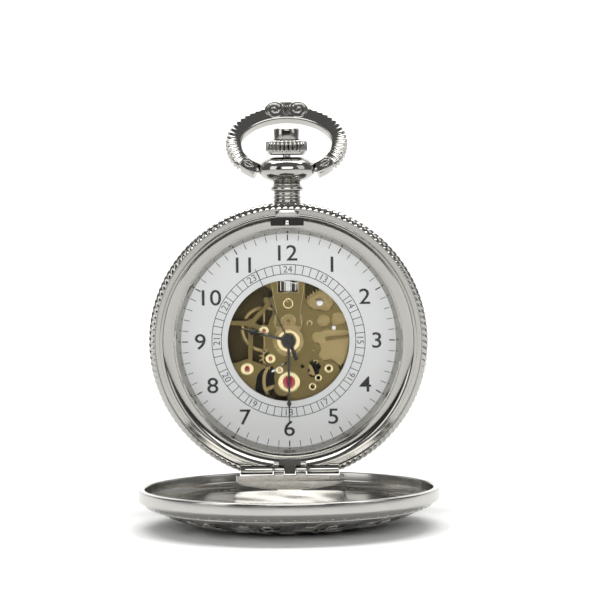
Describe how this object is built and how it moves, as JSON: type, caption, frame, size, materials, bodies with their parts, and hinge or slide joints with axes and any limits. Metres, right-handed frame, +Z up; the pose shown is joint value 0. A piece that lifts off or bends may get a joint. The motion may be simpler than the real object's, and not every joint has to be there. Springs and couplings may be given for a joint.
{
  "type": "hunter pocket watch",
  "caption": "Hunter pocket watch open on its hinged cover, with a white dial over a skeletonised hand-wound movement, fluted crown with a push-piece and an oval bow.",
  "frame": {"origin": "centre of the flat medallion on the outside of the front cover, on the surface that the open watch rests on", "axes": "+Z up, out of the open cover; -Y out of the dial towards the viewer, +Y towards the hinge at 6 o'clock; +X to 3 o'clock"},
  "size_m": [0.047, 0.0538, 0.0695],
  "materials": {
    "polished_steel": "mirror polished",
    "dark_steel": "blackened",
    "steel": "fine polished",
    "gilt_plate": "gilt with bright bevels",
    "brass": "fine brushed",
    "ruby": "polished synthetic ruby",
    "glass": "clear",
    "dial_white": "lacquered",
    "hand_black": "satin black",
    "white_metal": "plain"
  },
  "bodies": {
    "case": {"case_middle": "polished_steel", "bezel": "polished_steel", "rehaut": "polished_steel", "crystal": "glass", "dial": "dial_white", "movement_ring": "white_metal", "back_bezel": "polished_steel", "back_panel": "polished_steel", "case_hinge_knuckles": "polished_steel", "hinge_pin": "polished_steel", "lift_spring": "dark_steel", "catch_bracket": "dark_steel", "pendant": "polished_steel", "main_plate": "gilt_plate", "setting_bridge": "gilt_plate", "setting_spring": "steel", "barrel_bridge": "gilt_plate", "train_bridge": "gilt_plate", "balance_cock": "gilt_plate", "pallet_bridge": "gilt_plate", "plate_jewels": "ruby", "bridge_jewels": "ruby", "bridge_screws": "steel", "click_spring": "dark_steel", "keyless_posts": "dark_steel"},
    "front_cover": {"front_cover": "polished_steel", "cover_hinge_knuckles": "polished_steel"},
    "bow": {"bow": "polished_steel"},
    "stem_collet": {"stem_collet": "polished_steel"},
    "crown": {"crown": "polished_steel", "stem": "steel"},
    "release_button": {"release_button": "polished_steel"},
    "catch": {"catch": "steel"},
    "sliding_pinion": {"sliding_pinion": "steel"},
    "winding_pinion": {"winding_pinion": "steel"},
    "crown_wheel": {"crown_wheel": "steel"},
    "ratchet": {"ratchet_wheel": "steel", "barrel_arbor": "steel"},
    "click": {"click": "steel"},
    "setting_lever": {"setting_lever": "steel"},
    "yoke": {"yoke": "steel"},
    "setting_wheel": {"setting_wheel": "brass"},
    "barrel": {"mainspring_barrel": "brass", "mainspring": "steel"},
    "centre_wheel": {"centre_wheel": "brass"},
    "third_wheel": {"third_wheel": "brass"},
    "fourth_wheel": {"fourth_wheel": "brass", "seconds_hand": "hand_black"},
    "escape_wheel": {"escape_wheel": "brass"},
    "pallet_fork": {"pallet_fork": "steel"},
    "balance": {"balance_wheel": "brass", "hairspring": "steel"},
    "regulator": {"regulator": "steel"},
    "cannon": {"cannon_pinion": "steel", "minute_hand": "hand_black"},
    "minute_wheel": {"minute_wheel": "brass"},
    "hour": {"hour_wheel": "brass", "hour_hand": "hand_black"}
  },
  "joints": [
    {"name": "cover_hinge", "type": "hinge", "parent": "case", "child": "front_cover", "pos_m": [0, 0.0216, 0.0065], "axis": [-1, 0, 0], "range_deg": [0, 85], "stiffness_Nm_per_rad": 0.003, "springref_deg": -85.94},
    {"name": "bow_pivot", "type": "hinge", "parent": "case", "child": "bow", "pos_m": [0, 0.02237, 0.05731], "axis": [1, 0, 0], "range_deg": [-43, 107]},
    {"name": "crown_pull", "type": "slide", "parent": "case", "child": "stem_collet", "axis": [0, -0.0872, 0.9962], "range_m": [0, 0.001]},
    {"name": "crown_turn", "type": "hinge", "parent": "stem_collet", "child": "crown", "pos_m": [0, 0.02217, 0.0597], "axis": [0, -0.0872, 0.9962], "continuous": true},
    {"name": "button_push", "type": "slide", "parent": "crown", "child": "release_button", "axis": [0, 0.0872, -0.9962], "range_m": [0, 0.0008], "stiffness_N_per_m": 400, "springref_m": -0.0005},
    {"name": "catch_rock", "type": "hinge", "parent": "case", "child": "catch", "pos_m": [0, 0.01941, 0.04987], "axis": [1, 0, 0], "range_deg": [0, 6]},
    {"name": "clutch_slide", "type": "slide", "parent": "crown", "child": "sliding_pinion", "axis": [0, -0.0872, 0.9962], "range_m": [-0.0018, 0]},
    {"name": "winding_pinion_turn", "type": "hinge", "parent": "case", "child": "winding_pinion", "pos_m": [0, 0.02411, 0.03744], "axis": [0, -0.0872, 0.9962], "continuous": true},
    {"name": "crown_wheel_turn", "type": "hinge", "parent": "case", "child": "crown_wheel", "pos_m": [0.0016, 0.01881, 0.03497], "axis": [0, -0.9962, -0.0872], "continuous": true},
    {"name": "ratchet_turn", "type": "hinge", "parent": "case", "child": "ratchet", "pos_m": [0.00771, 0.01924, 0.03005], "axis": [0, -0.9962, -0.0872], "continuous": true},
    {"name": "click_lift", "type": "hinge", "parent": "case", "child": "click", "pos_m": [0.01207, 0.01882, 0.03488], "axis": [0, -0.9962, -0.0872], "range_deg": [-8, 0], "stiffness_Nm_per_rad": 0.00001, "springref_deg": 11.46},
    {"name": "setting_lever_turn", "type": "hinge", "parent": "case", "child": "setting_lever", "pos_m": [0.003, 0.02384, 0.04052], "axis": [0, -0.9962, -0.0872], "range_deg": [-21.78, 0]},
    {"name": "yoke_turn", "type": "hinge", "parent": "case", "child": "yoke", "pos_m": [-0.0036, 0.0243, 0.03525], "axis": [0, -0.9962, -0.0872], "range_deg": [-15.45, 0]},
    {"name": "setting_wheel_turn", "type": "hinge", "parent": "case", "child": "setting_wheel", "pos_m": [0, 0.01881, 0.03497], "axis": [0, -0.9962, -0.0872], "continuous": true},
    {"name": "escape_turn", "type": "hinge", "parent": "case", "child": "escape_wheel", "pos_m": [-0.00311, 0.01969, 0.02489], "axis": [0, -0.9962, -0.0872], "continuous": true},
    {"name": "barrel_turn", "type": "hinge", "parent": "case", "child": "barrel", "pos_m": [0.00771, 0.01924, 0.03005], "axis": [0, -0.9962, -0.0872], "continuous": true},
    {"name": "centre_turn", "type": "hinge", "parent": "case", "child": "centre_wheel", "pos_m": [0, 0.01942, 0.02799], "axis": [0, -0.9962, -0.0872], "continuous": true},
    {"name": "third_turn", "type": "hinge", "parent": "case", "child": "third_wheel", "pos_m": [-0.00417, 0.01927, 0.02967], "axis": [0, -0.9962, -0.0872], "continuous": true},
    {"name": "fourth_turn", "type": "hinge", "parent": "case", "child": "fourth_wheel", "pos_m": [0, 0.01942, 0.02799], "axis": [0, -0.9962, -0.0872], "continuous": true},
    {"name": "cannon_turn", "type": "hinge", "parent": "case", "child": "cannon", "pos_m": [0, 0.01942, 0.02799], "axis": [0, -0.9962, -0.0872], "continuous": true},
    {"name": "minute_wheel_turn", "type": "hinge", "parent": "case", "child": "minute_wheel", "pos_m": [0, 0.01913, 0.03134], "axis": [0, -0.9962, -0.0872], "continuous": true},
    {"name": "hour_turn", "type": "hinge", "parent": "case", "child": "hour", "pos_m": [0, 0.01942, 0.02799], "axis": [0, -0.9962, -0.0872], "continuous": true},
    {"name": "balance_swing", "type": "hinge", "parent": "case", "child": "balance", "pos_m": [0, 0.02005, 0.02082], "axis": [0, -0.9962, -0.0872], "range_deg": [-270, 270], "stiffness_Nm_per_rad": 0.0000003},
    {"name": "pallet_rock", "type": "hinge", "parent": "case", "child": "pallet_fork", "pos_m": [-0.0016, 0.01986, 0.02291], "axis": [0, -0.9962, -0.0872], "range_deg": [-5, 5]},
    {"name": "regulator_turn", "type": "hinge", "parent": "case", "child": "regulator", "pos_m": [0, 0.02005, 0.02082], "axis": [0, -0.9962, -0.0872], "range_deg": [-12, 12]}
  ],
  "couplings": [
    {"joint": "fourth_turn", "follows": "escape_turn", "ratio": -0.1},
    {"joint": "third_turn", "follows": "escape_turn", "ratio": 0.013333},
    {"joint": "centre_turn", "follows": "escape_turn", "ratio": -0.0016667},
    {"joint": "barrel_turn", "follows": "escape_turn", "ratio": 0.00027778},
    {"joint": "cannon_turn", "follows": "escape_turn", "ratio": -0.0016667},
    {"joint": "minute_wheel_turn", "follows": "escape_turn", "ratio": 0.00055556},
    {"joint": "hour_turn", "follows": "escape_turn", "ratio": -0.00013889},
    {"joint": "setting_wheel_turn", "follows": "escape_turn", "ratio": -0.00125},
    {"joint": "pallet_rock", "follows": "balance_swing", "ratio": -0.018519},
    {"joint": "winding_pinion_turn", "follows": "crown_turn", "ratio": 1},
    {"joint": "crown_wheel_turn", "follows": "crown_turn", "ratio": 0.53333},
    {"joint": "ratchet_turn", "follows": "crown_turn", "ratio": -0.32653},
    {"joint": "catch_rock", "follows": "button_push", "rad_per_m": 130.9},
    {"joint": "clutch_slide", "follows": "crown_pull", "ratio": -1.8},
    {"joint": "setting_lever_turn", "follows": "crown_pull", "rad_per_m": -379.98},
    {"joint": "yoke_turn", "follows": "crown_pull", "rad_per_m": -269.54}
  ]
}
